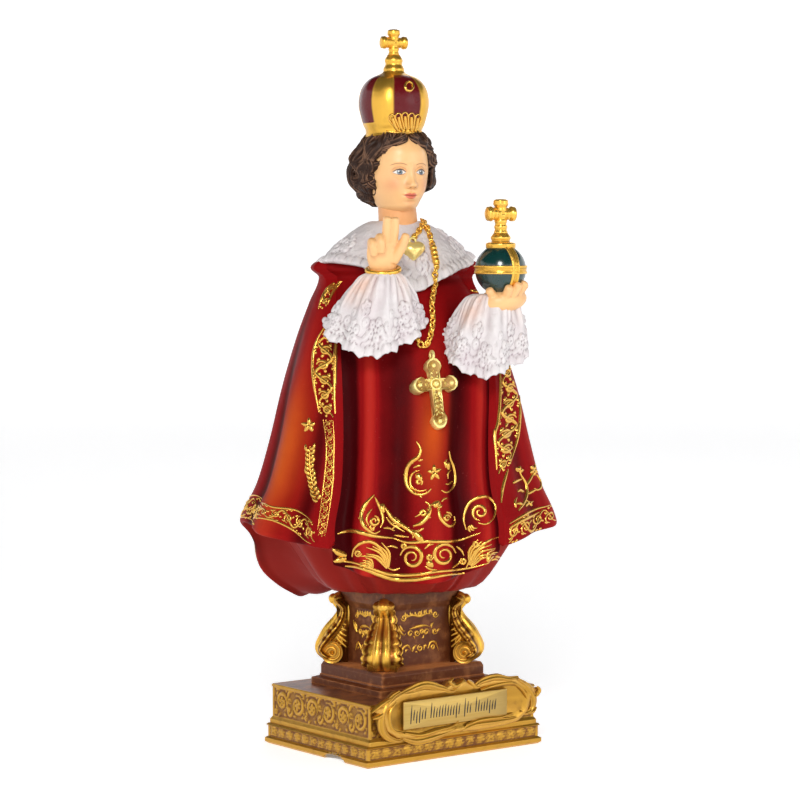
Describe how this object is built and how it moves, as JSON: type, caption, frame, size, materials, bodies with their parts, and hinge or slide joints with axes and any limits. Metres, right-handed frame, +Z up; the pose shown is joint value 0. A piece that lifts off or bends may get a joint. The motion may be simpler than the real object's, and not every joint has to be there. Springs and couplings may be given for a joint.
{
  "type": "infant of prague statuette",
  "caption": "Painted casting of a crowned child in a long robe and cape, one hand raised, an orb in the other, on a stepped pedestal with scroll brackets and a name plate.",
  "frame": {"origin": "centre of the base underside", "axes": "+Z up, -Y out of the base's front face with the name plate, +X towards the side of the hand that holds the orb"},
  "size_m": [0.0885, 0.0756, 0.2],
  "materials": {
    "painted_resin": "red paint on cast resin, satin, darker in the folds",
    "plate_brass": "brushed brass-coloured sheet",
    "lace_white": "matt white paint with a grey-mauve wash in the lace",
    "skin_paint": "warm skin paint, semi-matt",
    "hair_paint": "dark brown paint with lighter brushed locks",
    "gold_paint": "gold paint with a brown wash",
    "maroon_paint": "glossy dark maroon paint",
    "green_paint": "glossy dark green paint",
    "brown_paint": "reddish brown paint with a dark wash"
  },
  "bodies": {
    "root": {"statuette": "painted_resin", "name_plate": "plate_brass"}
  },
  "joints": []
}
